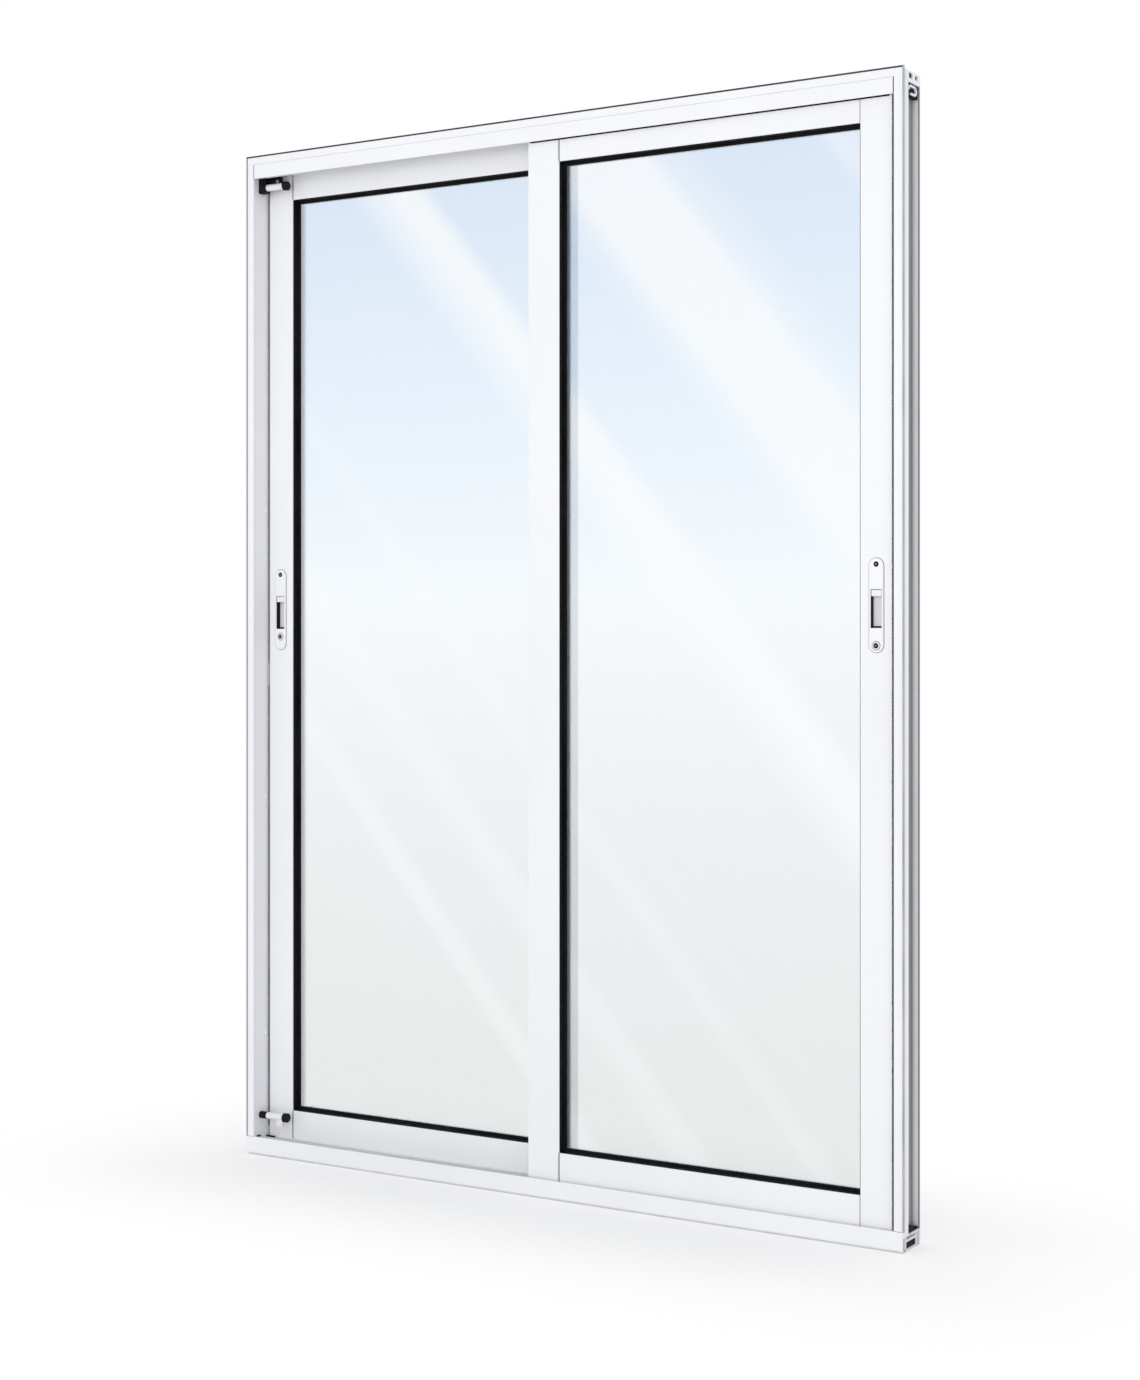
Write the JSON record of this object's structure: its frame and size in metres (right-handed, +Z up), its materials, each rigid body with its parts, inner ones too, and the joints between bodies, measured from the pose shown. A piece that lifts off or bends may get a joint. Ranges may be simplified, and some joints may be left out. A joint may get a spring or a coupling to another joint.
{
  "type": "glass sliding patio door",
  "caption": "White aluminium sliding patio door: glazed panels bypass in parallel tracks of a chambered frame, with black glazing gaskets, flush finger-cup latches and rubber-tipped stops.",
  "frame": {"origin": "middle of the sill's underside, on the floor", "axes": "+X along the door to the right seen from the front, +Y from front to back, +Z up"},
  "size_m": [1.486, 0.082, 2.093],
  "materials": {
    "white_aluminium": "satin white powder coat",
    "rail_aluminium": "mill aluminium",
    "clear_glass": "clear toughened glass",
    "black_gasket": "matte black gasket",
    "grey_seal": "matte grey seal strip",
    "latch_white": "white painted casting",
    "white_plastic": "white moulded nylon",
    "black_plastic": "black moulded nylon",
    "black_rubber": "black rubber",
    "roller_steel": "turned steel",
    "guide_nylon": "grey moulded nylon"
  },
  "bodies": {
    "frame": {"sill": "white_aluminium", "sill_front_cover": "white_aluminium", "sill_rear_cover": "white_aluminium", "front_roller_rail": "rail_aluminium", "back_roller_rail": "rail_aluminium", "head": "white_aluminium", "head_front_fascia": "white_aluminium", "head_rear_fascia": "white_aluminium", "front_guide_rail": "rail_aluminium", "back_guide_rail": "rail_aluminium", "corner_blocks": "black_plastic", "head_corner_rings": "white_aluminium", "end_plugs": "black_plastic", "strike_plates": "latch_white", "left_jamb": "white_aluminium", "right_jamb": "white_aluminium", "left_jamb_seal": "grey_seal", "right_jamb_seal": "grey_seal", "head_seal": "grey_seal", "stop_feet": "black_plastic", "stop_barrels": "white_plastic", "stop_tips": "black_rubber"},
    "left_panel": {"left_panel_outer_stile": "white_aluminium", "left_panel_meeting_stile": "white_aluminium", "left_panel_interlock": "white_aluminium", "left_panel_top_rail": "white_aluminium", "left_panel_bottom_rail": "white_aluminium", "left_panel_glass": "clear_glass", "left_panel_gasket": "black_gasket", "left_panel_rollers": "roller_steel", "left_panel_roller_carriages": "guide_nylon", "left_panel_top_guides": "guide_nylon", "left_panel_latch_plate": "latch_white"},
    "left_latch": {"left_panel_latch_thumb": "latch_white"},
    "right_panel": {"right_panel_outer_stile": "white_aluminium", "right_panel_meeting_stile": "white_aluminium", "right_panel_interlock": "white_aluminium", "right_panel_top_rail": "white_aluminium", "right_panel_bottom_rail": "white_aluminium", "right_panel_glass": "clear_glass", "right_panel_gasket": "black_gasket", "right_panel_rollers": "roller_steel", "right_panel_roller_carriages": "guide_nylon", "right_panel_top_guides": "guide_nylon", "right_panel_latch_plate": "latch_white"},
    "right_latch": {"right_panel_latch_thumb": "latch_white"}
  },
  "joints": [
    {"name": "left_panel_slide", "type": "slide", "parent": "frame", "child": "left_panel", "axis": [1, 0, 0], "range_m": [0, 0.6155]},
    {"name": "left_latch_slide", "type": "slide", "parent": "left_panel", "child": "left_latch", "axis": [0, 0, -1], "range_m": [0, 0.025]},
    {"name": "right_panel_slide", "type": "slide", "parent": "frame", "child": "right_panel", "axis": [-1, 0, 0], "range_m": [0, 0.599]},
    {"name": "right_latch_slide", "type": "slide", "parent": "right_panel", "child": "right_latch", "axis": [0, 0, -1], "range_m": [0, 0.025]}
  ]
}
